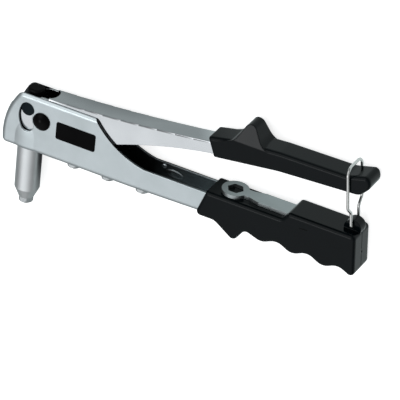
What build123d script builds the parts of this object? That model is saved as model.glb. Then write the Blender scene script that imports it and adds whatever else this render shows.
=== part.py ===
from build123d import *
from math import atan2, cos, degrees, hypot, radians, sin, sqrt, tan
import os

# Hand riveter lying on its side, in millimetres.
# +X runs from the head to the handles, -Y is the way the nose points, +Z is up.
# Every piece is built about the tool's mid-plane and raised by MID when it is written, so
# that z = 0 is the plane that the lower grip and the far pivot head rest on.
# The origin is the main pivot's axis on that plane.

# ---------------------------------------------------------------- driving dimensions
CONTACT_GAP = 0.02        # around pieces that are fixed to each other
RUNNING_GAP = 0.05        # radial, between a shaft and its bore
SIDE_GAP = 0.3            # between pieces that pass each other
CUTTER_REACH = 6.0        # how far a cutting shape runs on past the face that it opens
FLUSH = 0.001             # edges nearer than this lie in one plane

# body: a pressed steel channel, open along the top
BODY_HALF = 9.2
BODY_WALL = 1.5
BODY_CORNER = 3.6
BODY_BROW = 6.5           # rounding of the walls' top front corner
BODY_FRONT_TOP = (-17.6, 17.1)
BODY_FRONT_MIDDLE = (-27.0, -1.2)
BODY_FRONT_LOW = (-29.6, -20.0)
BODY_FRONT_LEAN = 0.6
BODY_BOTTOM = -26.0
BODY_CUT_START = 38.5     # where the high walls end
BODY_CUT_MIDDLE = (53.5, 1.6)
BODY_CUT_END = 77.0
BODY_RAIL = -8.4          # top of the low walls
BODY_END = 212.0
BODY_TAPER = (66.0, 126.0)
BODY_MOUTH = 5.0          # the front wall ends here, below the jaw case's cap
BODY_REAR_BOTTOM = -24.6
BULGE_RADIUS = 32.0       # of the swelling over the nose barrel
BULGE_TOP = 6.0
BULGE_FADE = 2.4
BULGE_STEEPNESS = 4.0

# nose
NOSE_X = -11.7            # the nose's axis runs along Y here
BARREL_RADIUS = 8.5
BARREL_TOP = -17.0
BARREL_CONE = -58.5
BARREL_END = -66.0
BARREL_END_RADIUS = 5.3
BARREL_BORE = 6.05
THREAD_RADIUS = 3.45
NOSEPIECE_HEX = 9.5       # across flats
NOSEPIECE_HEAD = 5.2
NOSEPIECE_TIP_RADIUS = 2.6
NOSEPIECE_STUB = 6.2
NOSEPIECE_SEAT = 0.4      # room above the stub
NOSEPIECE_LEAD = (0.7, 0.8)
NOSEPIECE_FLATS_END = 2.34
NOSEPIECE_CROWN = 5.22    # radius that the hexagon's corners are turned to
NOSEPIECE_CROWN_END = 3.64
NOSEPIECE_BORES = (1.55, 0.85, 1.05, 1.25)
SPARE_START = 22.3
SPARE_PITCH = 25.6

# main pivot
PIVOT_RADIUS = 3.5
PIVOT_HEAD_RADIUS = 6.3
PIVOT_DOME = 3.4
PIVOT_RIM = 0.7
PIVOT_HEAD_EDGE = 0.4
SLEEVE_RADIUS = 4.3

# lever: a chromed channel with its web on top, hung between the body's walls
LEVER_WALL = 1.4
LEVER_EDGE = 1.2          # rounding of the bend between the web and the walls
LEVER_EAR_MARGIN = 0.8    # steel left round the yoke pin's hole
LEVER_EAR_SWEEP = 40.0    # degrees below -X with the handles closed
LEVER_FRONT = 3.0
LEVER_FRONT_TOP = 17.8
LEVER_TOP_MIDDLE = (60.0, 21.8)
LEVER_GRIP_X = 122.0
LEVER_GRIP_TOP = 29.2
LEVER_GRIP_BOTTOM = 20.8
LEVER_END = 200.0
LEVER_END_TOP = 36.6
LEVER_END_BOTTOM = 30.6
LEVER_BELLY = (55.0, 2.0)
LEVER_BELLY_MIDDLE = (86.0, 12.6)
LEVER_THROAT = (8.0, -8.0)
LEVER_NOTCH_DEPTH = 3.5

# yoke: the cross pin on the lever that drives the jaw case
YOKE_RADIUS = 12.3
YOKE_CLOSED = 27.0        # degrees above -X with the handles closed
YOKE_OPEN = 29.0          # degrees below -X with the handles open
YOKE_PIN_RADIUS = 3.5
YOKE_END_RADIUS = 4.7
YOKE_SLOT_GAP = 0.15

# jaw case
CASE_RADIUS = BARREL_BORE - RUNNING_GAP
CASE_WALL = 1.1
CASE_BLOCK_TOP = 12.0
CASE_BLOCK_BOTTOM = -2.5
CASE_BLOCK_EDGE = 1.0
CASE_FLATS_END = -17.5
CASE_BORE_TOP = -18.5
CASE_SHOULDER = -29.0
CASE_TUBE_END = -34.9
CASE_END = -47.0
CASE_END_EDGE = 1.2
CASE_NECK_RADIUS = 5.4
JAW_CONE_RADIUS = 2.6     # inside the case's cone, at the case's end
JAW_CONE_SLOPE = 0.2
JAW_TIP = 0.6
JAW_TOP = -37.5
JAW_BORE = 0.9
JAW_COUNT = 3
JAW_SPLIT = 0.5
JAW_TEETH = 8
JAW_TOOTH_DEPTH = 0.3
PUSHER_RADIUS = 4.2
PUSHER_FLANGE = 2.5
PUSHER_STEM_RADIUS = 2.4
PUSHER_STEM_END = -25.0
PUSHER_BORE = 1.5
SPRING_RADIUS = 4.6
CAP_HALF = 5.5
CAP_FRONT = -16.2
CAP_TOP = 18.6
CAP_EDGE = 1.5
CAP_OVERHANG = 1.1        # beyond the yoke block behind

# label
LABEL_SIZE = (29.2, 12.8)
LABEL_CENTRE = (25.8, -2.1)
LABEL_CORNER = 1.4
LABEL_THICKNESS = 0.3

# lower grip
LOWER_HALF = 11.3
LOWER_EDGE = 2.4
LOWER_CORNER = 3.0
LOWER_FRONT_CORNER = 1.5
LOWER_STEP_CORNERS = (3.5, 2.0)
LOWER_FRONT_TOP = (123.4, -6.1)
LOWER_FRONT_LOW = (116.6, -25.9)
LOWER_STEP = (178.0, 182.4)
LOWER_REAR_TOP = -0.1
LOWER_REAR_LEAN = 2.8     # the rear end's foot lies this far behind its top
LOWER_TIP_RUN = 1.0       # from the last finger wave to the foot
LOWER_TIP_Y = -31.9
HOOK_CORNERS = ((131.0, -25.9, 8.0), (145.8, -36.0, 3.4), (153.2, -25.2, 4.0))
FINGER_START = 165.4
FINGER_PITCH = 22.0
FINGER_CRESTS = (-29.4, -30.1, -30.8)
FINGER_VALLEYS = (-24.4, -24.8, -25.8)
FINGER_ROUNDING = 9.0
BOSS_SETBACK = 5.4        # in front of the rear end's top
BOSS_Y = 1.0
BOSS_RADIUS = 6.0
BOSS_HALF = 3.8
REAR_HOLE_RADIUS = 0.9
REAR_HOLE_Y = -16.0
REAR_HOLE_DEPTH = 4.0

# upper grip
UPPER_HALF = 8.9
UPPER_EDGE = 2.4
UPPER_TOP_CORNERS = ((119.2, 32.6, 1.5), (140.0, 37.2, 12.0), (170.0, 39.4, 30.0), (217.0, 40.2, 16.0))
UPPER_END_CORNERS = ((232.2, 44.5, 3.5), (234.8, 37.0, 6.0), (227.5, 28.8, 8.0))
UPPER_BOTTOM_CORNERS = ((170.0, 25.2, 60.0), (124.8, 19.0, 1.5))
HUMP_FRONT = (138.0, 37.0, 10.0)
HUMP_PEAK = (147.6, 55.6, 4.2)
HUMP_REAR = (157.0, 39.2, 12.0)
HUMP_PEAK_HALF = 4.6
HUMP_ROOT = 6.4           # how deep the hump's foot is sunk in the grip
HUMP_RUNOUT = (12.0, 14.0)
HUMP_TOE = 1.5
HUMP_TOE_EDGE = 0.5

# bail
BAIL_SETBACK = 0.3        # in front of the boss's centre
BAIL_Y = 2.5
BAIL_BAR = (218.5, 46.0)
WIRE_RADIUS = 1.0
BAIL_LEG = 10.25          # half the width between the upper legs
BAIL_FOOT = 5.6           # half the width between the lower legs
BAIL_JOGGLE = (10.5, 15.5)
BAIL_CORNER = 5.5
BAIL_BEND = 1.6
BAIL_PIN_END = 1.6

# wrench
WRENCH_RING_X = 139.2
WRENCH_RING_RADIUS = 9.1
WRENCH_THICKNESS = 2.6
WRENCH_HEX_GAP = 0.3
WRENCH_NECK_HALF = 4.0
WRENCH_NECK = (151.0, 159.0)
WRENCH_SHANK_HALF = 6.3
WRENCH_END = 204.0
WRENCH_GAP = 0.15

# ---------------------------------------------------------------- derived places
MID = LOWER_HALF
BODY_INNER = BODY_HALF - BODY_WALL
LEVER_HALF = BODY_INNER - SIDE_GAP
LEVER_INNER = LEVER_HALF - LEVER_WALL
CASE_HALF = LEVER_INNER - SIDE_GAP
SLEEVE_HALF = LEVER_INNER - SIDE_GAP
YOKE_CENTRE = (-YOKE_RADIUS * cos(radians(YOKE_CLOSED)), YOKE_RADIUS * sin(radians(YOKE_CLOSED)))
LEVER_TRAVEL = YOKE_CLOSED + YOKE_OPEN
CASE_BORE = CASE_RADIUS - CASE_WALL
CAP_REAR = -SLEEVE_RADIUS - SIDE_GAP
CASE_BLOCK_WIDTH = 2 * (CAP_REAR - CAP_OVERHANG - NOSE_X)
LEVER_EAR_RADIUS = YOKE_RADIUS + YOKE_PIN_RADIUS + LEVER_EAR_MARGIN
LOWER_TIP = (FINGER_START + FINGER_PITCH * len(FINGER_CRESTS) + LOWER_TIP_RUN, LOWER_TIP_Y)
LOWER_REAR = LOWER_TIP[0] - LOWER_REAR_LEAN
BOSS_CENTRE = (LOWER_REAR - BOSS_SETBACK, BOSS_Y)
BAIL_PIVOT = (BOSS_CENTRE[0] - BAIL_SETBACK, BAIL_Y)
WRENCH_BOTTOM = LOWER_FRONT_TOP[1] + WRENCH_GAP
WRENCH_TOP = WRENCH_BOTTOM + WRENCH_THICKNESS
NOSE_AXIS = Axis((NOSE_X, 0, 0), (0, 1, 0))


# ---------------------------------------------------------------- helpers
def slab(face, half):
    """A side profile, thickened equally to both sides of the mid-plane."""
    return extrude(face, amount=half, both=True)


def layer(face, low, high):
    """A side profile, thickened between two heights."""
    return Pos(0, 0, low) * extrude(face, amount=high - low)


def disc(centre, radius, low, high):
    """A round piece whose axis runs across the tool."""
    return Pos(centre[0], centre[1], (low + high) / 2) * Cylinder(radius, high - low)


def turned(outline):
    """A piece turned about the nose's axis, from (radius, y) points."""
    face = make_face(Polyline(*[(NOSE_X + r, y) for r, y in outline], close=True))
    return revolve(face, NOSE_AXIS)


def rounded_path(points, radii):
    """A flat path of straight lines, with each inner point rounded to its radius."""
    edges, start = [], Vector(*points[0])
    for before, corner, after, radius in zip(points, points[1:], points[2:], radii):
        before, corner, after = Vector(*before), Vector(*corner), Vector(*after)
        into = (corner - before).normalized()
        out = (after - corner).normalized()
        turn = radians(into.get_angle(out))
        reach = radius * tan(turn / 2)
        first, last = corner - into * reach, corner + out * reach
        middle = corner + (out - into).normalized() * radius * (1 / cos(turn / 2) - 1)
        edges += [Line(start, first), ThreePointArc(first, middle, last)]
        start = last
    edges.append(Line(start, points[-1]))
    return Wire(edges)


def rounded_face(corners):
    """A closed outline of (x, y, rounding) corners."""
    first, last = corners[0], corners[-1]
    start = ((first[0] + last[0]) / 2, (first[1] + last[1]) / 2)
    points = [start, *[(x, y) for x, y, _ in corners], start]
    return make_face(rounded_path(points, [radius for _, _, radius in corners]))


def flat_piece(outline, bottom, top):
    """A shape seen from above, laid flat between two heights along Y."""
    plane = Plane((0, bottom, 0), x_dir=(1, 0, 0), z_dir=(0, 1, 0))
    return extrude(plane * outline, amount=top - bottom)


def save(name, shape):
    """Write one node, raised so that the tool lies on z = 0."""
    export_step(Pos(0, 0, MID) * shape, f"parts/{name}.step")


# ---------------------------------------------------------------- body
def channel_face(inset=0.0, rise=0.0, overrun=0.0):
    """The channel's side profile. The inner one is inset in front and below, and rises past the top."""
    low = BODY_BOTTOM + inset
    rear_low = BODY_REAR_BOTTOM + inset
    end = BODY_END + overrun
    front_low = (BODY_FRONT_LOW[0] + inset, BODY_FRONT_LOW[1] + inset)
    corner = (BODY_FRONT_LOW[0] + inset + BODY_FRONT_LEAN, low)
    front_top = (BODY_FRONT_TOP[0] + inset, BODY_FRONT_TOP[1])
    raised_top = (BODY_FRONT_TOP[0] + inset, BODY_FRONT_TOP[1] + rise)
    cut_start = (BODY_CUT_START, BODY_FRONT_TOP[1] + rise)
    edges = [
        ThreePointArc(front_low, (BODY_FRONT_MIDDLE[0] + inset, BODY_FRONT_MIDDLE[1]), front_top),
        Line(raised_top, cut_start),
        ThreePointArc(
            cut_start,
            (BODY_CUT_MIDDLE[0], BODY_CUT_MIDDLE[1] + rise),
            (BODY_CUT_END, BODY_RAIL + rise),
        ),
        Polyline(
            (BODY_CUT_END, BODY_RAIL + rise), (end, BODY_RAIL + rise), (end, rear_low),
            (BODY_TAPER[1], rear_low), (BODY_TAPER[0], low), corner, front_low,
        ),
    ]
    if rise:
        edges.insert(1, Line(front_top, raised_top))
    face = make_face(edges)
    face = fillet(face.vertices().sort_by_distance((*corner, 0))[0], BODY_CORNER - inset)
    if not rise:
        face = fillet(face.vertices().sort_by_distance((*front_top, 0))[0], BODY_BROW)
    return face


def pressed_block(inset, rise=0.0, overrun=0.0):
    """A solid with the channel's profile, rounded along its front and bottom."""
    half = BODY_HALF - inset
    block = slab(channel_face(inset, rise, overrun), half)

    def rounded(edge):
        middle = edge @ 0.5
        on_side = abs(abs(middle.Z) - half) < FLUSH
        below = middle.Y < BODY_REAR_BOTTOM + BODY_CORNER
        in_front = middle.X < BODY_FRONT_TOP[0] - BODY_WALL
        return on_side and (below or in_front)

    return fillet(block.edges().filter_by(rounded), BODY_CORNER - inset)


def bulge(inset):
    """The shallow swelling pressed into both walls round the top of the nose barrel."""
    apex = BARREL_RADIUS + CONTACT_GAP + BODY_WALL - inset
    depth = apex - (BULGE_RADIUS - inset)
    full = NOSE_X + BULGE_RADIUS - inset
    floor = BODY_BOTTOM + inset
    corner = BODY_CORNER - inset
    slant = corner * (1 - cos(radians(45)))
    profile = make_face([
        Spline((full - BULGE_FADE, BULGE_TOP), (full - BULGE_FADE / 4, (BULGE_TOP + BARREL_TOP) / 2),
               (full, BARREL_TOP), tangents=((1, -BULGE_STEEPNESS), (0, -1))),
        Line((full, BARREL_TOP), (full, floor + corner)),
        ThreePointArc((full, floor + corner), (full - slant, floor + slant), (full - corner, floor)),
        Polyline((full - corner, floor), (NOSE_X, floor), (NOSE_X, BULGE_TOP),
                 (full - BULGE_FADE, BULGE_TOP)),
    ])
    swelling = revolve(Pos(0, 0, depth) * profile, Axis((NOSE_X, 0, depth), (0, 1, 0)))
    width = 2 * sqrt(2 * BULGE_RADIUS * (apex + inset - BODY_HALF)) + SIDE_GAP
    height = BULGE_TOP - floor
    near = swelling & (Pos(NOSE_X, floor + height / 2, apex) * Box(width, 2 * height, 2 * apex))
    return near + mirror(near, about=Plane.XY)


def kidney(half_width):
    """The curved slot that the yoke pin's ends travel in."""
    path = CenterArc((0, 0), YOKE_RADIUS, 180 - YOKE_CLOSED, LEVER_TRAVEL)
    return SlotArc(path, 2 * half_width)


def spare_places():
    return [SPARE_START + SPARE_PITCH * i for i in range(len(NOSEPIECE_BORES) - 1)]


def body_channel():
    shell = pressed_block(0) + bulge(0)
    shell -= pressed_block(BODY_WALL, rise=CUTTER_REACH, overrun=CUTTER_REACH) + bulge(BODY_WALL)
    shell -= slab(make_face(Polyline(
        (2 * BODY_FRONT_LOW[0], BODY_MOUTH), (0, BODY_MOUTH), (0, 2 * BODY_FRONT_TOP[1]),
        (2 * BODY_FRONT_LOW[0], 2 * BODY_FRONT_TOP[1]), close=True)), BODY_INNER)
    shell -= disc((0, 0), PIVOT_RADIUS + CONTACT_GAP, -BODY_HALF, BODY_HALF)
    shell -= slab(kidney(YOKE_END_RADIUS + SIDE_GAP), BODY_HALF + BODY_WALL)
    below = BODY_BOTTOM - CUTTER_REACH
    shell -= turned(((0, below), (BARREL_RADIUS + CONTACT_GAP, below),
                     (BARREL_RADIUS + CONTACT_GAP, BARREL_TOP), (0, BARREL_TOP)))
    inside = BODY_BOTTOM + 2 * BODY_WALL
    for x in spare_places():
        shell -= Pos(x - NOSE_X, 0, 0) * turned(
            ((0, below), (THREAD_RADIUS, below), (THREAD_RADIUS, inside), (0, inside)))
    return shell


# ---------------------------------------------------------------- nose
def nose_barrel():
    seat = BARREL_END + NOSEPIECE_STUB + NOSEPIECE_SEAT
    return turned((
        (BARREL_BORE, BARREL_TOP), (BARREL_RADIUS, BARREL_TOP), (BARREL_RADIUS, BARREL_CONE),
        (BARREL_END_RADIUS, BARREL_END), (THREAD_RADIUS, BARREL_END),
        (THREAD_RADIUS, seat), (BARREL_BORE, seat),
    ))


def nosepiece(bore):
    """A nosepiece whose hexagon's shoulder is at y = 0 on the nose's axis."""
    across = NOSEPIECE_HEX / 2
    stub = THREAD_RADIUS - CONTACT_GAP
    outline = turned((
        (0, NOSEPIECE_STUB), (stub - NOSEPIECE_LEAD[0], NOSEPIECE_STUB),
        (stub, NOSEPIECE_STUB - NOSEPIECE_LEAD[1]), (stub, 0), (NOSEPIECE_CROWN, 0),
        (NOSEPIECE_CROWN, -NOSEPIECE_FLATS_END), (across, -NOSEPIECE_CROWN_END),
        (NOSEPIECE_TIP_RADIUS, -NOSEPIECE_HEAD), (0, -NOSEPIECE_HEAD),
    ))
    hexagon = Plane((NOSE_X, 0, 0), x_dir=(1, 0, 0), z_dir=(0, 1, 0)) * RegularPolygon(
        across, 6, major_radius=False)
    hexagon = extrude(hexagon, amount=2 * NOSEPIECE_STUB, both=True)
    above, below = NOSEPIECE_STUB + CUTTER_REACH, -NOSEPIECE_HEAD - CUTTER_REACH
    hole = turned(((0, above), (bore, above), (bore, below), (0, below)))
    return (outline & hexagon) - hole


# ---------------------------------------------------------------- pivot
def pivot_pin():
    return disc((0, 0), PIVOT_RADIUS, -BODY_HALF, BODY_HALF)


def pivot_sleeve():
    return (disc((0, 0), SLEEVE_RADIUS, -SLEEVE_HALF, SLEEVE_HALF)
            - disc((0, 0), PIVOT_RADIUS + CONTACT_GAP, -SLEEVE_HALF, SLEEVE_HALF))


def pivot_head_near():
    """A low dome with a straight rim, on the near wall."""
    rise = PIVOT_DOME - PIVOT_RIM
    sphere_radius = (PIVOT_HEAD_RADIUS ** 2 + rise ** 2) / (2 * rise)
    head = disc((0, 0), PIVOT_HEAD_RADIUS, BODY_HALF, BODY_HALF + PIVOT_DOME)
    return head & Pos(0, 0, BODY_HALF + PIVOT_DOME - sphere_radius) * Sphere(sphere_radius)


def pivot_head_far():
    """The flat head that the tool lies on."""
    head = disc((0, 0), PIVOT_HEAD_RADIUS, -MID, -BODY_HALF)
    return chamfer(head.edges().sort_by(Axis.Z)[0], PIVOT_HEAD_EDGE)


# ---------------------------------------------------------------- lever
def lever_arm_face():
    """The side profile of the lever's long tapering arm."""
    return make_face([
        ThreePointArc((LEVER_FRONT, LEVER_FRONT_TOP), LEVER_TOP_MIDDLE, (LEVER_GRIP_X, LEVER_GRIP_TOP)),
        Polyline((LEVER_GRIP_X, LEVER_GRIP_TOP), (LEVER_END, LEVER_END_TOP),
                 (LEVER_END, LEVER_END_BOTTOM), (LEVER_GRIP_X, LEVER_GRIP_BOTTOM)),
        ThreePointArc((LEVER_GRIP_X, LEVER_GRIP_BOTTOM), LEVER_BELLY_MIDDLE, LEVER_BELLY),
        Polyline(LEVER_BELLY, LEVER_THROAT, (0, 0), (LEVER_FRONT, LEVER_FRONT_TOP)),
    ])


def lever_ear_face():
    """The side profile of the round ear about the pivot."""
    low = radians(180 + LEVER_EAR_SWEEP)
    reach = 2 * LEVER_EAR_RADIUS
    sector = make_face(Polyline(
        LEVER_THROAT, (reach * cos(low), reach * sin(low)), (-reach, reach), (0, reach),
        (LEVER_FRONT, LEVER_FRONT_TOP), close=True))
    return Circle(LEVER_EAR_RADIUS) & sector


def lever_channel():
    """Two walls bent down from a web along the top, with the web cut back in a hollow curve in front."""
    arm = slab(lever_arm_face(), LEVER_HALF)

    def bent(edge):
        middle = edge @ 0.5
        on_side = abs(abs(middle.Z) - LEVER_HALF) < FLUSH
        return on_side and middle.X < LEVER_GRIP_X and middle.Y > LEVER_TOP_MIDDLE[1] - LEVER_WALL

    lever = fillet(arm.edges().filter_by(bent), LEVER_EDGE) + slab(lever_ear_face(), LEVER_HALF)
    lever -= slab(Pos(0, -LEVER_WALL, 0) * lever_arm_face(), LEVER_INNER)
    lever -= slab(lever_ear_face(), LEVER_INNER)
    notch = Pos(LEVER_FRONT) * Ellipse(LEVER_NOTCH_DEPTH, LEVER_INNER)
    lever -= flat_piece(notch, LEVER_FRONT_TOP - 2 * LEVER_WALL, LEVER_FRONT_TOP + 2 * LEVER_WALL)
    lever -= disc((0, 0), PIVOT_RADIUS + RUNNING_GAP, -LEVER_HALF, LEVER_HALF)
    lever -= disc(YOKE_CENTRE, YOKE_PIN_RADIUS + CONTACT_GAP, -LEVER_HALF, LEVER_HALF)
    return lever


def yoke_pin():
    """A cross pin through both ears and the jaw case, with a flat collar at each end."""
    collar = LEVER_HALF + CONTACT_GAP
    end = BODY_HALF - SIDE_GAP
    pin = disc(YOKE_CENTRE, YOKE_PIN_RADIUS, -end, end)
    return pin + disc(YOKE_CENTRE, YOKE_END_RADIUS, collar, end) + disc(
        YOKE_CENTRE, YOKE_END_RADIUS, -end, -collar)


# ---------------------------------------------------------------- jaw case
def cone_radius(y):
    """The radius of the case's inner cone at a height."""
    return JAW_CONE_RADIUS + JAW_CONE_SLOPE * (y - CASE_END)


def jaw_case():
    """The yoke block with its cross slot, and the tube below it that holds the spring."""
    tube = turned((
        (0, CASE_BLOCK_BOTTOM), (CASE_RADIUS, CASE_BLOCK_BOTTOM), (CASE_RADIUS, CASE_SHOULDER),
        (CASE_NECK_RADIUS, CASE_SHOULDER), (CASE_NECK_RADIUS, CASE_TUBE_END), (0, CASE_TUBE_END),
    ))
    block_height = CASE_BLOCK_TOP - CASE_BLOCK_BOTTOM
    block = Pos(NOSE_X, CASE_BLOCK_TOP - block_height / 2, 0) * Box(
        CASE_BLOCK_WIDTH, block_height, 2 * CASE_HALF)
    block = chamfer(block.edges().filter_by(Axis.Y), CASE_BLOCK_EDGE)
    flats_height = CASE_BLOCK_BOTTOM - CASE_FLATS_END
    for side in (1, -1):
        tube -= Pos(NOSE_X, CASE_FLATS_END + flats_height, side * (CASE_HALF + CASE_RADIUS)) * Box(
            3 * CASE_RADIUS, 2 * flats_height, 2 * CASE_RADIUS)
    case = tube + block
    case -= turned(((0, CASE_BORE_TOP), (CASE_BORE, CASE_BORE_TOP), (CASE_BORE, CASE_TUBE_END),
                    (0, CASE_TUBE_END)))
    slot_height = 2 * (YOKE_PIN_RADIUS + YOKE_SLOT_GAP)
    drift = YOKE_RADIUS + YOKE_CENTRE[0]
    slot = SlotCenterToCenter(drift + YOKE_SLOT_GAP, slot_height)
    case -= slab(Pos(YOKE_CENTRE[0] - drift / 2, YOKE_CENTRE[1]) * slot, 2 * CASE_HALF)
    return case


def jaw_case_front():
    """The screwed front of the case, with the cone that closes the jaws."""
    step = CASE_TUBE_END - CONTACT_GAP
    return turned((
        (CASE_NECK_RADIUS + CONTACT_GAP, CASE_SHOULDER - CONTACT_GAP),
        (CASE_RADIUS, CASE_SHOULDER - CONTACT_GAP), (CASE_RADIUS, CASE_END + CASE_END_EDGE),
        (CASE_RADIUS - CASE_END_EDGE, CASE_END), (cone_radius(CASE_END), CASE_END),
        (cone_radius(step), step),
        (CASE_NECK_RADIUS + CONTACT_GAP, step),
    ))


def jaws():
    """Gripping jaws split from one cone, with a toothed bore."""
    low = CASE_END - JAW_TIP
    pitch = (JAW_TOP - low) / JAW_TEETH
    bore = [(JAW_BORE + JAW_TOOTH_DEPTH * ((i + 1) % 2), JAW_TOP - pitch * i) for i in range(JAW_TEETH + 1)]
    outer = [(cone_radius(y) - RUNNING_GAP, y) for y in (low, JAW_TOP)]
    cone = turned(bore + outer)
    half_turn = radians(180 / JAW_COUNT)
    far = 2 * CASE_RADIUS / cos(half_turn)
    sector = make_face(Polyline(
        (0, 0), (far * cos(half_turn), far * sin(half_turn)), (far, 0),
        (far * cos(half_turn), -far * sin(half_turn)), close=True))
    sector = Pos(JAW_SPLIT / (2 * sin(half_turn))) * sector
    floor = Plane((NOSE_X, low - CUTTER_REACH, 0), x_dir=(1, 0, 0), z_dir=(0, 1, 0))
    height = JAW_TOP - low + 2 * CUTTER_REACH
    return [cone & extrude(floor * Rot(0, 0, 360 / JAW_COUNT * i) * sector, amount=height)
            for i in range(JAW_COUNT)]


def jaw_pusher():
    top = JAW_TOP + CONTACT_GAP
    return turned((
        (PUSHER_BORE, top), (PUSHER_RADIUS, top), (PUSHER_RADIUS, top + PUSHER_FLANGE),
        (PUSHER_STEM_RADIUS, top + PUSHER_FLANGE), (PUSHER_STEM_RADIUS, PUSHER_STEM_END),
        (PUSHER_BORE, PUSHER_STEM_END),
    ))


def jaw_spring():
    """The coil spring between the pusher and the top of the case's bore, as its outer sleeve."""
    low = JAW_TOP + PUSHER_FLANGE + 2 * CONTACT_GAP
    high = CASE_BORE_TOP - CONTACT_GAP
    bore = PUSHER_STEM_RADIUS + SIDE_GAP
    return turned(((bore, low), (SPRING_RADIUS, low), (SPRING_RADIUS, high), (bore, high)))


def case_cap():
    """The black plastic cap on top of the jaw case, round at both ends."""
    length = CAP_REAR - CAP_FRONT
    outline = Pos((CAP_REAR + CAP_FRONT) / 2) * SlotOverall(length, 2 * CAP_HALF)
    cap = flat_piece(outline, CASE_BLOCK_TOP + CONTACT_GAP, CAP_TOP)
    return fillet(cap.faces().sort_by(Axis.Y)[-1].edges(), CAP_EDGE)


# ---------------------------------------------------------------- label
def label_plate():
    plate = Pos(*LABEL_CENTRE, 0) * RectangleRounded(*LABEL_SIZE, LABEL_CORNER)
    return layer(plate, BODY_HALF, BODY_HALF + LABEL_THICKNESS)


# ---------------------------------------------------------------- lower grip
def lower_face():
    """The lower grip's side profile, with a hook and finger waves along the bottom."""
    waves = []
    for i, (crest, valley) in enumerate(zip(FINGER_CRESTS, FINGER_VALLEYS)):
        x = FINGER_START + FINGER_PITCH * i
        waves += [(x, crest, FINGER_ROUNDING), (x + FINGER_PITCH / 2, valley, FINGER_ROUNDING)]
    return rounded_face([
        (*LOWER_FRONT_TOP, LOWER_FRONT_CORNER), (*LOWER_FRONT_LOW, LOWER_CORNER), *HOOK_CORNERS, *waves,
        (*LOWER_TIP, LOWER_CORNER), (LOWER_REAR, LOWER_REAR_TOP, LOWER_CORNER),
        (LOWER_STEP[1], LOWER_REAR_TOP, LOWER_STEP_CORNERS[1]),
        (LOWER_STEP[0], LOWER_FRONT_TOP[1], LOWER_STEP_CORNERS[0]),
    ])


def channel_seat():
    """The room that the channel's walls take inside the lower grip."""
    return pressed_block(-CONTACT_GAP, overrun=CONTACT_GAP) - pressed_block(
        BODY_WALL + CONTACT_GAP, rise=CUTTER_REACH, overrun=CUTTER_REACH)


def wrench_outline(gap=0.0):
    """The wrench seen from above, widened all round by a gap."""
    ring = Pos(WRENCH_RING_X, 0) * Circle(WRENCH_RING_RADIUS + gap)
    half, neck = WRENCH_SHANK_HALF + gap, WRENCH_NECK_HALF + gap
    shank = make_face(Polyline(
        (WRENCH_RING_X, neck), (WRENCH_NECK[0], neck), (WRENCH_NECK[1], half), (WRENCH_END + gap, half),
        (WRENCH_END + gap, -half), (WRENCH_NECK[1], -half), (WRENCH_NECK[0], -neck),
        (WRENCH_RING_X, -neck), close=True))
    return ring + shank


def lower_grip():
    grip = slab(lower_face(), LOWER_HALF)
    sides = grip.faces().sort_by(Axis.Z)
    grip = fillet(sides[0].edges() + sides[-1].edges(), LOWER_EDGE)
    grip += disc(BOSS_CENTRE, BOSS_RADIUS, -BOSS_HALF, BOSS_HALF)
    grip -= channel_seat()
    grip -= flat_piece(wrench_outline(WRENCH_GAP), WRENCH_BOTTOM - WRENCH_GAP, WRENCH_TOP + WRENCH_GAP)
    for side in (1, -1):
        low, high = sorted((side * (BAIL_PIN_END - SIDE_GAP), side * BOSS_HALF))
        grip -= disc(BAIL_PIVOT, WIRE_RADIUS + RUNNING_GAP, low, high)
    hole = Pos(LOWER_REAR, REAR_HOLE_Y, 0) * Rot(0, 90, 0) * Cylinder(REAR_HOLE_RADIUS, 2 * REAR_HOLE_DEPTH)
    return grip - hole


# ---------------------------------------------------------------- upper grip
def upper_face():
    """The upper grip's side profile without its thumb hump."""
    return rounded_face([*UPPER_TOP_CORNERS, *UPPER_END_CORNERS, *UPPER_BOTTOM_CORNERS])


def thumb_hump():
    """The rest for the thumb, narrower towards its peak."""
    base = HUMP_FRONT[1] - HUMP_ROOT
    ends = (HUMP_FRONT[0] - HUMP_RUNOUT[0], HUMP_REAR[0] + HUMP_RUNOUT[1])
    hump = slab(rounded_face([
        (ends[0], base, HUMP_TOE_EDGE), (ends[0], base + HUMP_TOE, HUMP_TOE_EDGE),
        HUMP_FRONT, HUMP_PEAK, HUMP_REAR,
        (ends[1], base + HUMP_TOE, HUMP_TOE_EDGE), (ends[1], base, HUMP_TOE_EDGE),
    ]), UPPER_HALF)
    section = make_face(Polyline(
        (base - CUTTER_REACH, -UPPER_HALF), (HUMP_FRONT[1], -UPPER_HALF), (HUMP_PEAK[1], -HUMP_PEAK_HALF),
        (HUMP_PEAK[1], HUMP_PEAK_HALF), (HUMP_FRONT[1], UPPER_HALF), (base - CUTTER_REACH, UPPER_HALF),
        close=True))
    section = Plane((ends[0], 0, 0), x_dir=(0, 1, 0), z_dir=(1, 0, 0)) * section
    return hump & extrude(section, amount=ends[1] - ends[0])


def lever_seat():
    """The room that the lever's walls take inside the upper grip."""
    profile = offset(lever_arm_face(), amount=CONTACT_GAP)
    return slab(profile, LEVER_HALF + CONTACT_GAP)


def upper_grip():
    grip = slab(upper_face(), UPPER_HALF)
    sides = grip.faces().sort_by(Axis.Z)
    grip = fillet(sides[0].edges() + sides[-1].edges(), UPPER_EDGE)
    return grip + thumb_hump() - lever_seat()


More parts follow.
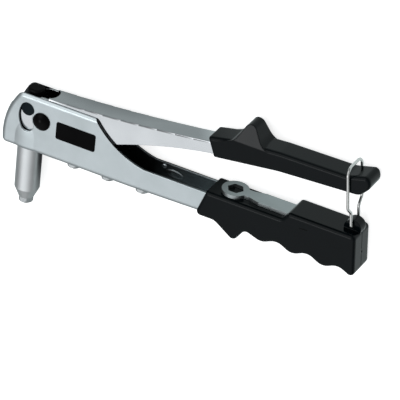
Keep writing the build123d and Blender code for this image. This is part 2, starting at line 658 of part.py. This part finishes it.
# ---------------------------------------------------------------- bail
def bail_wire():
    """The wire bail: two legs joggled out from the boss to pass the upper grip, and a bar over it."""
    lean = degrees(atan2(BAIL_PIVOT[0] - BAIL_BAR[0], BAIL_BAR[1] - BAIL_PIVOT[1]))
    height = hypot(BAIL_BAR[0] - BAIL_PIVOT[0], BAIL_BAR[1] - BAIL_PIVOT[1])
    half = [(-BAIL_PIN_END, 0), (-BAIL_FOOT, 0), (-BAIL_FOOT, BAIL_JOGGLE[0]),
            (-BAIL_LEG, BAIL_JOGGLE[1]), (-BAIL_LEG, height)]
    points = half + [(-x, y) for x, y in reversed(half)]
    radii = [BAIL_BEND, 2 * BAIL_BEND, 2 * BAIL_BEND, BAIL_CORNER]
    path = rounded_path(points, radii + radii[::-1])
    section = Plane(path @ 0, z_dir=path % 0) * Circle(WIRE_RADIUS)
    wire = sweep(section, path=path)
    return Pos(*BAIL_PIVOT, 0) * Rot(0, 0, lean) * Rot(0, 90, 0) * wire


# ---------------------------------------------------------------- wrench
def wrench():
    plan = wrench_outline()
    plan -= Pos(WRENCH_RING_X, 0) * RegularPolygon(
        NOSEPIECE_HEX / 2 + WRENCH_HEX_GAP / 2, 6, major_radius=False)
    return flat_piece(plan, WRENCH_BOTTOM, WRENCH_TOP)


# ---------------------------------------------------------------- nodes
os.makedirs("parts", exist_ok=True)

save("body_channel", body_channel())
save("nose_barrel", nose_barrel())
save("nosepiece", Pos(0, BARREL_END, 0) * nosepiece(NOSEPIECE_BORES[0]))
for number, (x, bore) in enumerate(zip(spare_places(), NOSEPIECE_BORES[1:]), start=1):
    save(f"spare_nosepiece_{number}", Pos(x - NOSE_X, BODY_BOTTOM, 0) * nosepiece(bore))
save("pivot_pin", pivot_pin())
save("pivot_sleeve", pivot_sleeve())
save("pivot_head_near", pivot_head_near())
save("pivot_head_far", pivot_head_far())
save("label_plate", label_plate())
save("lower_grip", lower_grip())

save("lever_channel", lever_channel())
save("yoke_pin", yoke_pin())
save("upper_grip", upper_grip())

save("jaw_case", jaw_case())
save("jaw_case_front", jaw_case_front())
save("case_cap", case_cap())
save("jaw_spring", jaw_spring())
save("jaw_pusher", jaw_pusher())
for number, jaw in enumerate(jaws(), start=1):
    save(f"jaw_{number}", jaw)

save("bail_wire", bail_wire())
save("wrench", wrench())
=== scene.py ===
import bpy
from math import cos, pi, sin
from mathutils import Matrix, Vector
from mathutils.bvhtree import BVHTree


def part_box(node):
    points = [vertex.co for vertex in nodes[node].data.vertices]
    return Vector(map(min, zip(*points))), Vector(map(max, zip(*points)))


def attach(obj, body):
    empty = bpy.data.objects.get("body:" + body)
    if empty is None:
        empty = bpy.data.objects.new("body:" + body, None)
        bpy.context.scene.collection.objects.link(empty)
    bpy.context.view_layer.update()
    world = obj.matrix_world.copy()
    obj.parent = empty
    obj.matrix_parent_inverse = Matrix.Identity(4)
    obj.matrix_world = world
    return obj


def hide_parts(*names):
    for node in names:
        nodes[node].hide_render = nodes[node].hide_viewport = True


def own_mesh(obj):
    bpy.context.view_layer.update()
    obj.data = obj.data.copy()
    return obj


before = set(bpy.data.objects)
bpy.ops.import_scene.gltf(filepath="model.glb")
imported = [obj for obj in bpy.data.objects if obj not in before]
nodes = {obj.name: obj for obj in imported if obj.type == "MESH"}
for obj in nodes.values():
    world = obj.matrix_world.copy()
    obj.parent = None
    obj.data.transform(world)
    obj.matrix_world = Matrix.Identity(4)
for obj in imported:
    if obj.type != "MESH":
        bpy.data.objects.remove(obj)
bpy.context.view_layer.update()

# ------------------------------------------------------------------ camera
# Solved from named points on the object in the photo.
EYE = Vector((0.94212, 1.26494, 1.83278))
RIGHT = Vector((0.8800, 0.0925, -0.4650))
TOWARD = Vector((0.3476, 0.5407, 0.7655))
LENS, SENSOR = 330.6, 36.0

cam_data = bpy.data.cameras.new("camera")
cam_data.sensor_width = SENSOR
cam_data.lens = LENS
cam_data.clip_start, cam_data.clip_end = 0.05, 50.0
camera = bpy.data.objects.new("camera", cam_data)
bpy.context.scene.collection.objects.link(camera)
back = TOWARD.normalized()
side = (RIGHT - back * RIGHT.dot(back)).normalized()
up = back.cross(side)
aim = Matrix((side, up, back)).transposed().to_4x4()
camera.matrix_world = Matrix.Translation(EYE) @ aim
bpy.context.scene.camera = camera
bpy.context.scene.view_settings.view_transform = "Standard"


# ------------------------------------------------------------------ node helpers
def new_material(name):
    mat = bpy.data.materials.new(name)
    mat.use_nodes = True
    tree = mat.node_tree
    return mat, tree, tree.nodes["Principled BSDF"]


def add(tree, kind, inputs=(), **fields):
    """A node of a kind, with named fields and input values or links."""
    node = tree.nodes.new(kind)
    for key, value in fields.items():
        setattr(node, key, value)
    for key, value in dict(inputs).items():
        if isinstance(value, bpy.types.NodeSocket):
            tree.links.new(value, node.inputs[key])
        else:
            node.inputs[key].default_value = value
    return node


def calc(tree, operation, a, b):
    """A value worked out from two others."""
    return add(tree, "ShaderNodeMath", {0: a, 1: b}, operation=operation).outputs[0]


def coords(tree, scale=(1, 1, 1)):
    place = add(tree, "ShaderNodeTexCoord").outputs["Object"]
    return add(tree, "ShaderNodeMapping", {"Vector": place, "Scale": scale}).outputs[0]


def split(tree, vector):
    """The x, y and z of a linked vector."""
    return add(tree, "ShaderNodeSeparateXYZ", {0: vector}).outputs


def noise(tree, where, scale, detail=4.0, roughness=0.55):
    return add(tree, "ShaderNodeTexNoise", {
        "Vector": where, "Scale": scale,
        "Detail": detail, "Roughness": roughness}).outputs["Fac"]


def spread(tree, value, low, high, start=0.3, stop=0.7):
    """A value between start and stop, spread from low to high."""
    return add(tree, "ShaderNodeMapRange", {
        "Value": value, "From Min": start, "From Max": stop,
        "To Min": low, "To Max": high}).outputs[0]


def tint(tree, value, first, second):
    """A colour between two, which may be linked, by a value."""
    first, second = (
        colour if isinstance(colour, bpy.types.NodeSocket) else (*colour, 1)
        for colour in (first, second))
    return add(tree, "ShaderNodeMix", {"Factor": value, 6: first, 7: second},
               data_type="RGBA").outputs[2]


def finish_normal(tree, shader, height, strength, distance, edge):
    """A fine relief over the surface, whose sharp edges are softened to a radius."""
    soft = add(tree, "ShaderNodeBevel", {"Radius": edge}, samples=6).outputs[0]
    bump = add(tree, "ShaderNodeBump", {
        "Height": height, "Strength": strength, "Distance": distance, "Normal": soft})
    tree.links.new(bump.outputs[0], shader.inputs["Normal"])


# ------------------------------------------------------------------ materials
METAL_PATCHES, METAL_GRAIN, METAL_RELIEF = 45.0, 2600.0, 0.00003
MOULDED_PATCHES, MOULDED_RELIEF = 60.0, 0.00004


def finish_colour(tree, shader, patch_scale, dark, light, rough):
    """Patches in the colour and in the roughness."""
    patches = noise(tree, coords(tree), patch_scale)
    tree.links.new(tint(tree, spread(tree, patches, 0, 1), dark, light),
                   shader.inputs["Base Color"])
    tree.links.new(spread(tree, patches, *rough), shader.inputs["Roughness"])


def metal(name, dark, light, rough, grain=(1, 1, 1), bump=0.1, edge=0.0003):
    """A metal with a slightly uneven finish and a fine grain."""
    mat, tree, shader = new_material(name)
    finish_colour(tree, shader, METAL_PATCHES, dark, light, rough)
    fine = noise(tree, coords(tree, grain), METAL_GRAIN, detail=3.0, roughness=0.6)
    shader.inputs["Metallic"].default_value = 1.0
    finish_normal(tree, shader, fine, bump, METAL_RELIEF, edge)
    return mat


def moulded(name, dark, light, rough, specular, bump, scale, edge=0.0003):
    """A moulded plastic with a faint orange peel."""
    mat, tree, shader = new_material(name)
    finish_colour(tree, shader, MOULDED_PATCHES, dark, light, rough)
    peel = noise(tree, coords(tree), scale, detail=3.0, roughness=0.5)
    shader.inputs["Specular IOR Level"].default_value = specular
    finish_normal(tree, shader, peel, bump, MOULDED_RELIEF, edge)
    return mat


# Painted shade turns colours towards this near black: on the far wall's inside and on the near
# wall's cut end.
NEAR_BLACK = (0.01, 0.01, 0.01)
# How strongly painted shade darkens the far wall's inside at the head and at the grip.
INSIDE_SHADE_AT_HEAD, INSIDE_SHADE_AT_GRIP = 0.92, 0.05
# How strongly painted shade darkens the near wall's cut end.
CUT_END_SHADE = 0.97


def paint_shade(mat, amount):
    """Paints shade: turns a material's colour towards near black by a linked value."""
    tree = mat.node_tree
    base = tree.nodes["Principled BSDF"].inputs["Base Color"]
    tree.links.new(tint(tree, amount, base.links[0].from_socket, NEAR_BLACK), base)


def paint_shade_inside(mat, below, start, stop):
    """Paints shade on what faces up below a height: the far wall's inside. It fades along x."""
    tree = mat.node_tree
    place = split(tree, coords(tree))
    normal = split(tree, add(tree, "ShaderNodeNewGeometry").outputs["Normal"])
    low = calc(tree, "LESS_THAN", place[2], below)
    faces_up = calc(tree, "GREATER_THAN", normal[2], 0.5)
    fade = spread(tree, place[0], INSIDE_SHADE_AT_HEAD, INSIDE_SHADE_AT_GRIP, start, stop)
    paint_shade(mat, calc(tree, "MULTIPLY", calc(tree, "MULTIPLY", low, faces_up), fade))


def paint_shade_cut(mat, past, above):
    """Paints shade on what faces along +x past a place and above a height: the near wall's cut
    end.
    """
    tree = mat.node_tree
    place = split(tree, coords(tree))
    normal = split(tree, add(tree, "ShaderNodeNewGeometry").outputs["Normal"])
    end = calc(tree, "GREATER_THAN", place[0], past)
    high = calc(tree, "GREATER_THAN", place[2], above)
    faces_along = spread(tree, normal[0], 0, CUT_END_SHADE, 0.35, 0.55)
    paint_shade(mat, calc(tree, "MULTIPLY", calc(tree, "MULTIPLY", end, high), faces_along))


TURNED = (0.2, 6, 0.2)

BODY = metal("satin_body", (0.455, 0.50, 0.515), (0.52, 0.565, 0.585),
             (0.30, 0.38), grain=(0.15, 1, 1), bump=0.08, edge=0.0006)
# Painted shade on the far wall's inside, and on the near wall's cut end.
paint_shade_inside(BODY, below=0.0040, start=0.076, stop=0.100)
paint_shade_cut(BODY, past=0.030, above=0.0182)
LEVER = metal("mirror_chrome", (0.60, 0.62, 0.64), (0.66, 0.68, 0.70),
              (0.08, 0.13), bump=0.02, edge=0.0004)
NOSE = metal("turned_steel", (0.58, 0.60, 0.61), (0.68, 0.70, 0.71),
             (0.34, 0.42), grain=TURNED, bump=0.12)
NOSEPIECE = metal("turned_nosepiece", (0.40, 0.42, 0.43), (0.52, 0.54, 0.55),
                  (0.28, 0.38), grain=TURNED, bump=0.2)
DARK = metal("blackened_steel", (0.010, 0.012, 0.014), (0.022, 0.026, 0.030),
             (0.22, 0.34), bump=0.15)
YOKE = metal("slate_steel", (0.006, 0.009, 0.011), (0.012, 0.017, 0.020),
             (0.28, 0.40), bump=0.2)
JAW = metal("hardened_steel", (0.16, 0.16, 0.165), (0.26, 0.26, 0.27),
            (0.25, 0.4), bump=0.2, edge=0.0002)
ZINC = metal("zinc_plate", (0.27, 0.295, 0.30), (0.34, 0.37, 0.375),
             (0.32, 0.42), bump=0.12, edge=0.0002)
WIRE = metal("zinc_wire", (0.50, 0.50, 0.49), (0.62, 0.62, 0.61),
             (0.18, 0.26), bump=0.1, edge=0.0002)
DOME = moulded("black_rivet_head", (0.0010, 0.0010, 0.0012), (0.0020, 0.0020, 0.0022),
               (0.10, 0.15), specular=0.05, bump=0.03, scale=900.0)
GRIP = moulded("gloss_grip", (0.0004, 0.0018, 0.0026), (0.0008, 0.0028, 0.0038),
               (0.08, 0.13), specular=0.11, bump=0.06, scale=500.0, edge=0.0010)
CAP = moulded("matt_cap", (0.0015, 0.0015, 0.0017), (0.003, 0.003, 0.0033),
              (0.34, 0.5), specular=0.08, bump=0.3, scale=1400.0)
LABEL = moulded("label_film", (0.0012, 0.0012, 0.0014), (0.0024, 0.0024, 0.0027),
                (0.20, 0.30), specular=0.03, bump=0.03, scale=1400.0, edge=0.0001)

FINISHES = {
    "body_channel": BODY, "nose_barrel": NOSE, "nosepiece": NOSEPIECE,
    "spare_nosepiece_1": NOSEPIECE, "spare_nosepiece_2": NOSEPIECE, "spare_nosepiece_3": NOSEPIECE,
    "pivot_pin": DARK, "pivot_sleeve": DARK, "pivot_head_near": DOME, "pivot_head_far": DOME,
    "label_plate": LABEL, "lower_grip": GRIP, "lever_channel": LEVER, "yoke_pin": YOKE,
    "upper_grip": GRIP, "jaw_case": DARK, "jaw_case_front": DARK, "case_cap": CAP,
    "jaw_spring": JAW, "jaw_pusher": JAW, "jaw_1": JAW, "jaw_2": JAW, "jaw_3": JAW,
    "bail_wire": WIRE, "wrench": ZINC,
}
for name, finish in FINISHES.items():
    mesh = nodes[name].data
    mesh.materials.clear()
    mesh.materials.append(finish)


# ------------------------------------------------------------------ small pieces
def piece(name, shape, body, finish):
    """A smooth mesh piece that rides on a CAD body."""
    points, faces = shape
    mesh = bpy.data.meshes.new(name)
    mesh.from_pydata(points, [], faces)
    mesh.polygons.foreach_set("use_smooth", [True] * len(mesh.polygons))
    mesh.materials.append(finish)
    obj = bpy.data.objects.new(name, mesh)
    bpy.context.scene.collection.objects.link(obj)
    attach(obj, body)
    return obj


def rings_joined(first, second, sides):
    """Faces between two rings of points, given by their first points' numbers."""
    return [(first + k, first + (k + 1) % sides, second + (k + 1) % sides, second + k)
            for k in range(sides)]


def bar(path, radius, closed=False):
    """A round bar along a path of points, its ends thinned unless it is a closed loop."""
    count, sides, thin_end = len(path), 12, 0.5
    points, faces = [], []
    normal = Vector((0.3, 0.2, 1.0))  # any direction that no path here runs along
    for i, centre in enumerate(path):
        before = path[i - 1] if closed else path[max(i - 1, 0)]
        after = path[(i + 1) % count] if closed else path[min(i + 1, count - 1)]
        ahead = (after - before).normalized()
        normal = (normal - ahead * normal.dot(ahead)).normalized()
        across = ahead.cross(normal)
        thin = thin_end if not closed and i in (0, count - 1) else 1.0
        for k in range(sides):
            turn = 2 * pi * k / sides
            points.append(centre + (normal * cos(turn) + across * sin(turn)) * radius * thin)
    for i in range(count if closed else count - 1):
        faces += rings_joined(i * sides, (i + 1) % count * sides, sides)
    if not closed:
        faces += [tuple(reversed(range(sides))), tuple(range((count - 1) * sides, count * sides))]
    return points, faces


def swell(centre, half_long, half_wide, height, angle):
    """A low oval swelling that rises along z from a flat face."""
    rings, sides = 6, 28
    points = []
    for i in range(rings):
        lean = pi / 2 * i / rings
        for k in range(sides):
            turn = 2 * pi * k / sides
            x, y = half_long * cos(turn) * cos(lean), half_wide * sin(turn) * cos(lean)
            points.append(centre + Vector((
                x * cos(angle) - y * sin(angle), x * sin(angle) + y * cos(angle),
                height * sin(lean))))
    points.append(centre + Vector((0, 0, height)))
    faces = [tuple(reversed(range(sides)))]
    for i in range(rings - 1):
        faces += rings_joined(i * sides, (i + 1) * sides, sides)
    last = (rings - 1) * sides
    faces += [(last + k, last + (k + 1) % sides, last + sides) for k in range(sides)]
    return points, faces


def rounded_loop(low, high, corner, z):
    """Points round a rectangle with rounded corners, at a height z."""
    steps = 6
    corners = (
        (high[0] - corner, high[1] - corner), (low[0] + corner, high[1] - corner),
        (low[0] + corner, low[1] + corner), (high[0] - corner, low[1] + corner))
    loop = []
    for quarter, centre in enumerate(corners):
        for step in range(steps + 1):
            turn = pi / 2 * (quarter + step / steps)
            loop.append(Vector((*centre, z)) + Vector((cos(turn), sin(turn), 0)) * corner)
    return loop


def row(start, end, steps):
    """Evenly spaced points from a start to an end."""
    return [Vector([a + (b - a) * i / steps for a, b in zip(start, end)])
            for i in range(steps + 1)]


def seam(node, starts, direction):
    """Points where lines from the starts along a direction first meet a CAD node's surface."""
    mesh = nodes[node].data
    surface = BVHTree.FromPolygons(
        [v.co for v in mesh.vertices], [p.vertices for p in mesh.polygons])
    hits = [surface.ray_cast(start, direction)[0] for start in starts]
    return [hit for hit in hits if hit is not None]


# The jaw spring: round wire, with a closed coil at each end.
SPRING_WIRE = 0.0009
SPRING_TURNS = 6.5
STEPS_PER_TURN = 24
low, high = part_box("jaw_spring")
coil = (high[0] - low[0]) / 2 - SPRING_WIRE
closed_pitch = 2 * SPRING_WIRE
open_pitch = (high[1] - low[1] - 3 * closed_pitch) / (SPRING_TURNS - 2)
spring_path = []
for step in range(int(SPRING_TURNS * STEPS_PER_TURN) + 1):
    turns = step / STEPS_PER_TURN
    open_turns = min(max(turns - 1, 0), SPRING_TURNS - 2)
    rise = SPRING_WIRE + closed_pitch * (turns - open_turns) + open_pitch * open_turns
    spring_path.append(Vector((
        (low[0] + high[0]) / 2 + coil * cos(2 * pi * turns),
        low[1] + rise,
        (low[2] + high[2]) / 2 + coil * sin(2 * pi * turns))))
spring = piece("jaw_spring_coil", bar(spring_path, SPRING_WIRE), "case", JAW)
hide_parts("jaw_spring")
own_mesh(spring)

# Pressed in the inside of the body's far wall: two dimples, and the tab beside the larger one.
# Each has its place in x and y, half length, half width, height and turn.
FAR_WALL = 0.00355
PRESSED = {
    "wall_dimple": ((0.0838, -0.0112), 0.0018, 0.0018, 0.0010, 0.0),
    "wall_pip": ((0.0572, -0.0080), 0.0007, 0.0007, 0.0004, 0.0),
    "wall_tab": ((0.0915, -0.0148), 0.0068, 0.0030, 0.0005, -0.06),
}
for name, (place, *shape) in PRESSED.items():
    piece(name, swell(Vector((*place, FAR_WALL)), *shape), "frame", BODY)

# The label's raised border.
BORDER_INSET, BORDER_CORNER, BORDER = 0.0005, 0.0007, 0.00012
low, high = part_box("label_plate")
border = rounded_loop(
    (low[0] + BORDER_INSET, low[1] + BORDER_INSET),
    (high[0] - BORDER_INSET, high[1] - BORDER_INSET), BORDER_CORNER, high[2])
piece("label_border", bar(border, BORDER, closed=True), "frame", LABEL)

# Moulding lines on the grips. Each follows the surface where lines from well outside meet it.
# The end line is measured down from the grip's top, the others forwards from its rear.
LINE = 0.00016
OUTSIDE = 0.01
END_LINE, END_STEPS = (0.004, 0.0395), 24
FINGER_LINE, FINGER_STEPS = (0.005, 0.109), 150
UNDER_LINE, UNDER_STEPS = (0.004, 0.109), 80
FORWARDS, UPWARDS = Vector((-1, 0, 0)), Vector((0, 1, 0))
low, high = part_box("lower_grip")
middle = (low[2] + high[2]) / 2
behind = high[0] + OUTSIDE
starts = row((behind, high[1] - END_LINE[0], middle),
             (behind, high[1] - END_LINE[1], middle), END_STEPS)
piece("lower_grip_end_line", bar(seam("lower_grip", starts, FORWARDS), LINE),
      "frame", GRIP)
under = low[1] - OUTSIDE
starts = row((high[0] - FINGER_LINE[0], under, middle),
             (high[0] - FINGER_LINE[1], under, middle), FINGER_STEPS)
piece("lower_grip_finger_line", bar(seam("lower_grip", starts, UPWARDS), LINE),
      "frame", GRIP)

# The short bar on the lower grip's near face.
BAR, BAR_SUNK, BAR_STEPS = 0.0004, 0.00015, 6
face = high[2] - BAR_SUNK
mark = row((0.1910, -0.0078, face), (0.1970, -0.0074, face), BAR_STEPS)
piece("lower_grip_bar", bar(mark, BAR), "frame", CAP)

low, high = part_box("upper_grip")
middle = (low[2] + high[2]) / 2
under = low[1] - OUTSIDE
starts = row((high[0] - UNDER_LINE[0], under, middle),
             (high[0] - UNDER_LINE[1], under, middle), UNDER_STEPS)
piece("upper_grip_under_line", bar(seam("upper_grip", starts, UPWARDS), LINE),
      "lever", GRIP)

# ------------------------------------------------------------------ stage and light
PAPER = 0.80
FLOOR_GLOW = 0.72
FLOOR_DROP = 0.0002
FLOOR_REACH = 30.0
# In reflections the floor shows painted light: a grey that grows brighter along x, with a painted
# shadow pool under the tool.
MIRROR_TINT = (0.90, 1.0, 1.0, 1)
MIRRORED_LOW, MIRRORED_HIGH = 0.40, 0.90
BRIGHTER_FROM, BRIGHTER_TO = 0.102, 0.135
SHADOW_POOL_MIRRORED = 0.07
SHADOW_POOL_CENTRE = (0.050, -0.025, 0.0)
SHADOW_POOL_SIZE = (0.125, 0.056, 1.0)
SHADOW_POOL_RIM = 0.45


def floor_material():
    """White paper to the camera. In reflections, a painted grey brighter along x, with a painted
    shadow under the tool.
    """
    mat = bpy.data.materials.new("studio_floor")
    mat.use_nodes = True
    tree = mat.node_tree
    tree.nodes.clear()
    path = add(tree, "ShaderNodeLightPath").outputs
    mirrored = calc(tree, "MAXIMUM", path["Is Glossy Ray"], path["Is Transmission Ray"])
    place = add(tree, "ShaderNodeTexCoord").outputs["Object"]
    # Where the painted shadow pool lies.
    shadow_pool = add(tree, "ShaderNodeMapping", {
        "Vector": place, "Location": SHADOW_POOL_CENTRE, "Scale": SHADOW_POOL_SIZE},
        vector_type="TEXTURE").outputs[0]
    near = add(tree, "ShaderNodeTexGradient", {"Vector": shadow_pool},
               gradient_type="SPHERICAL").outputs["Fac"]
    # The painted reflection: brighter along x, and darkened by painted shadow near the tool.
    grey = calc(
        tree, "MULTIPLY",
        spread(tree, split(tree, place)[0],
               MIRRORED_LOW, MIRRORED_HIGH, BRIGHTER_FROM, BRIGHTER_TO),
        spread(tree, near, 1.0, SHADOW_POOL_MIRRORED, 0.0, SHADOW_POOL_RIM))
    paper = add(tree, "ShaderNodeBsdfDiffuse", {"Color": (PAPER, PAPER, PAPER, 1)})
    glow = add(tree, "ShaderNodeEmission", {
        "Strength": calc(tree, "MULTIPLY", path["Is Camera Ray"], FLOOR_GLOW)})
    direct = add(tree, "ShaderNodeAddShader", {0: paper.outputs[0], 1: glow.outputs[0]})
    mirror = add(tree, "ShaderNodeEmission", {"Color": MIRROR_TINT, "Strength": grey})
    both = add(tree, "ShaderNodeMixShader", {
        0: mirrored, 1: direct.outputs[0], 2: mirror.outputs[0]})
    add(tree, "ShaderNodeOutputMaterial", {"Surface": both.outputs[0]})
    return mat


floor_mesh = bpy.data.meshes.new("floor")
floor_mesh.from_pydata(
    [(-FLOOR_REACH, -FLOOR_REACH, 0), (FLOOR_REACH, -FLOOR_REACH, 0),
     (FLOOR_REACH, FLOOR_REACH, 0), (-FLOOR_REACH, FLOOR_REACH, 0)],
    [], [(0, 1, 2, 3)])
floor = bpy.data.objects.new("floor", floor_mesh)
floor.location.z = -FLOOR_DROP
bpy.context.scene.collection.objects.link(floor)
floor_mesh.materials.append(floor_material())

# The studio is a pale tent, brighter overhead, and plain white to the camera. Its lamps are a wide
# one beyond the nose, a small strong one nearly overhead, and a soft one on the lever's side that
# lights the rims. Each has its direction, tightness and power.
TENT_LOW, TENT_HIGH = 0.22, 0.55
TENT_TINT = (0.97, 0.99, 1.0, 1)
LAMPS = (
    ((-0.02, -0.54, 0.84), 5.0, 0.74),
    ((-0.34, -0.13, 0.93), 90.0, 5.00),
    ((-0.45, 0.53, 0.72), 14.0, 1.6),
)
world = bpy.data.worlds.new("studio")
bpy.context.scene.world = world
world.use_nodes = True
tree = world.node_tree
seen = add(tree, "ShaderNodeLightPath").outputs["Is Camera Ray"]
where = add(tree, "ShaderNodeTexCoord").outputs["Generated"]
light = spread(tree, split(tree, where)[2], TENT_LOW, TENT_HIGH, 0.0, 1.0)
for direction, tightness, power in LAMPS:
    facing = add(tree, "ShaderNodeVectorMath", {
        0: where, 1: Vector(direction).normalized()}, operation="DOT_PRODUCT").outputs["Value"]
    lobe = calc(tree, "POWER", calc(tree, "MAXIMUM", facing, 0.0), tightness)
    light = calc(tree, "ADD", light, calc(tree, "MULTIPLY", lobe, power))
level = add(tree, "ShaderNodeMix", {0: seen, 2: light, 3: 1.0}).outputs[0]
sky = tree.nodes["Background"]
sky.inputs["Color"].default_value = TENT_TINT
tree.links.new(level, sky.inputs["Strength"])
